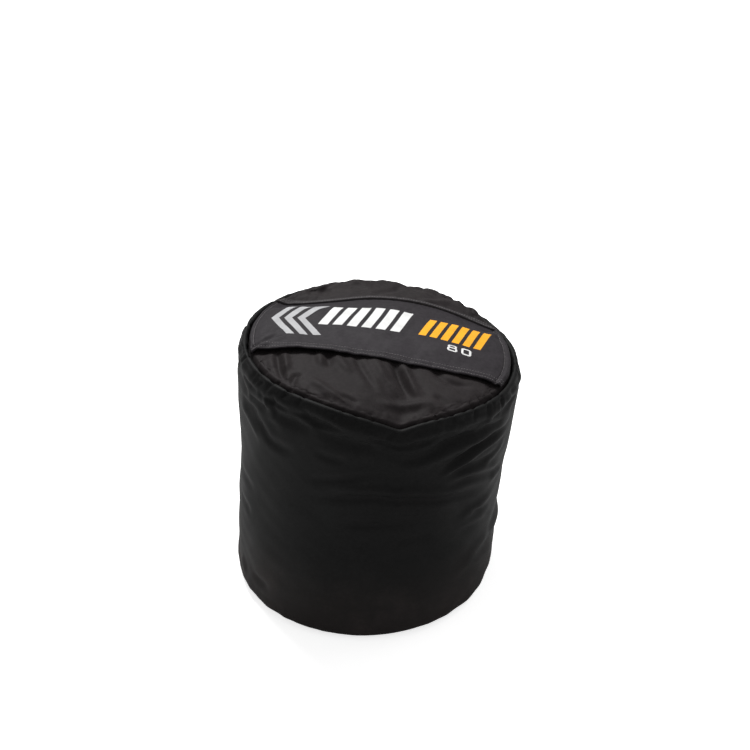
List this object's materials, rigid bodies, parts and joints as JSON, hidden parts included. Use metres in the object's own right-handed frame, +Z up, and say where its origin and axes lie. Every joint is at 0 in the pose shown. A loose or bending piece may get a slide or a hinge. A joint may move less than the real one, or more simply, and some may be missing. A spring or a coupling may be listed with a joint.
{
  "type": "sandbag trainer",
  "caption": "Drum-shaped heavy cloth sandbag for lifting and loading, with a zipped mouth under a wide hook-and-loop flap across its crowned top.",
  "frame": {"origin": "centre of the flat base, on the floor", "axes": "+Z up; X runs along the flap, +X towards the side that the filled bag leans to; -Y towards the flap's free edge"},
  "size_m": [0.4298, 0.4135, 0.4242],
  "materials": {
    "wall_cloth": "matte",
    "top_cloth": "matte",
    "flap_cloth": "matte",
    "seam_binding": "matte",
    "hook_tape": "matte",
    "loop_tape": "matte",
    "zip_tape": "matte",
    "zip_teeth": "satin",
    "zip_metal": "satin",
    "liner_cloth": "satin",
    "tie_band": "matte",
    "sand": "matte"
  },
  "bodies": {
    "bag": {"side_wall": "wall_cloth", "base_panel": "wall_cloth", "wall_seam_strip": "wall_cloth", "base_seam_binding": "seam_binding", "rim_seam_binding": "seam_binding", "top_front_panel": "top_cloth", "top_back_panel": "top_cloth", "flap_seam_binding": "top_cloth", "loop_strip": "loop_tape", "zip_tape_front": "zip_tape", "zip_tape_back": "zip_tape", "zip_chain_front": "zip_teeth", "zip_chain_back": "zip_teeth", "zip_stop_left": "zip_metal", "zip_stop_right": "zip_metal", "liner_body": "liner_cloth", "liner_top": "liner_cloth", "liner_tie": "tie_band", "sand_fill": "sand"},
    "flap": {"closure_flap": "flap_cloth", "hook_strip": "hook_tape"},
    "zip_slider": {"zip_slider": "zip_metal", "zip_pull": "zip_metal"}
  },
  "joints": [
    {"name": "flap_lift", "type": "hinge", "parent": "bag", "child": "flap", "pos_m": [0.02909, 0.095, 0.41209], "axis": [-0.9951, 0, 0.0985], "range_deg": [0, 150]},
    {"name": "zip_slide", "type": "hinge", "parent": "bag", "child": "zip_slider", "pos_m": [-0.06104, 0.03, -0.49893], "axis": [0, -1, 0], "range_deg": [0, 15.05]}
  ]
}
